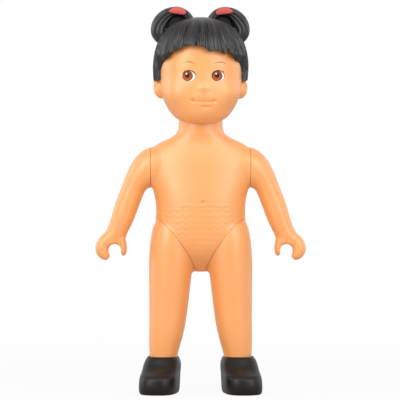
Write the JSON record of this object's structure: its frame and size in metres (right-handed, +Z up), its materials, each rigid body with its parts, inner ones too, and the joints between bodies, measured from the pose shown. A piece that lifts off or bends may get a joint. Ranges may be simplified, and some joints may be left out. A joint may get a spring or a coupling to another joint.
{
  "type": "jointed play doll",
  "caption": "Jointed plastic play doll with moulded hair in looped buns, turning head, swinging arms and legs, clip hands for a bar, and moulded shoes.",
  "frame": {"origin": "on the floor under the middle of the doll's outline", "axes": "+Z up from the soles to the hair, -Y the way the doll faces, +X towards the doll's left hand"},
  "size_m": [0.09, 0.041, 0.165],
  "materials": {
    "skin": "smooth warm peach moulded plastic with a soft sheen",
    "hair": "black moulded plastic with strand grooves",
    "hair_tie": "red painted plastic",
    "shoe": "black moulded plastic with a soft sheen",
    "sole": "matt black plastic",
    "axle": "plain natural white plastic, hidden inside the joints"
  },
  "bodies": {
    "torso": {"torso_front": "skin", "torso_back": "skin"},
    "head": {"head_front": "skin", "head_back": "skin", "hair_cap": "hair", "hair_loop_left": "hair", "hair_loop_right": "hair", "hair_tie_left": "hair_tie", "hair_tie_right": "hair_tie", "neck_axle": "axle"},
    "arm_left": {"arm_left_front": "skin", "arm_left_back": "skin", "shoulder_axle_left": "axle"},
    "arm_right": {"arm_right_front": "skin", "arm_right_back": "skin", "shoulder_axle_right": "axle"},
    "leg_left": {"leg_left_front": "skin", "leg_left_back": "skin", "hip_axle_left": "axle", "shoe_left": "shoe", "sole_left": "sole"},
    "leg_right": {"leg_right_front": "skin", "leg_right_back": "skin", "hip_axle_right": "axle", "shoe_right": "shoe", "sole_right": "sole"}
  },
  "joints": [
    {"name": "neck_turn", "type": "hinge", "parent": "torso", "child": "head", "pos_m": [0, -0.00071, 0.1185], "axis": [0, 0, 1], "continuous": true},
    {"name": "shoulder_left_swing", "type": "hinge", "parent": "torso", "child": "arm_left", "pos_m": [0.0212, -0.00071, 0.0966], "axis": [-1, 0, 0], "continuous": true},
    {"name": "shoulder_right_swing", "type": "hinge", "parent": "torso", "child": "arm_right", "pos_m": [-0.0212, -0.00071, 0.0966], "axis": [-1, 0, 0], "continuous": true},
    {"name": "hip_left_swing", "type": "hinge", "parent": "torso", "child": "leg_left", "pos_m": [0.0111, -0.00071, 0.06333], "axis": [-0.7708, 0.2419, 0.5893], "range_deg": [-40, 120]},
    {"name": "hip_right_swing", "type": "hinge", "parent": "torso", "child": "leg_right", "pos_m": [-0.0111, -0.00071, 0.06333], "axis": [-0.7708, -0.2419, -0.5893], "range_deg": [-40, 120]}
  ]
}
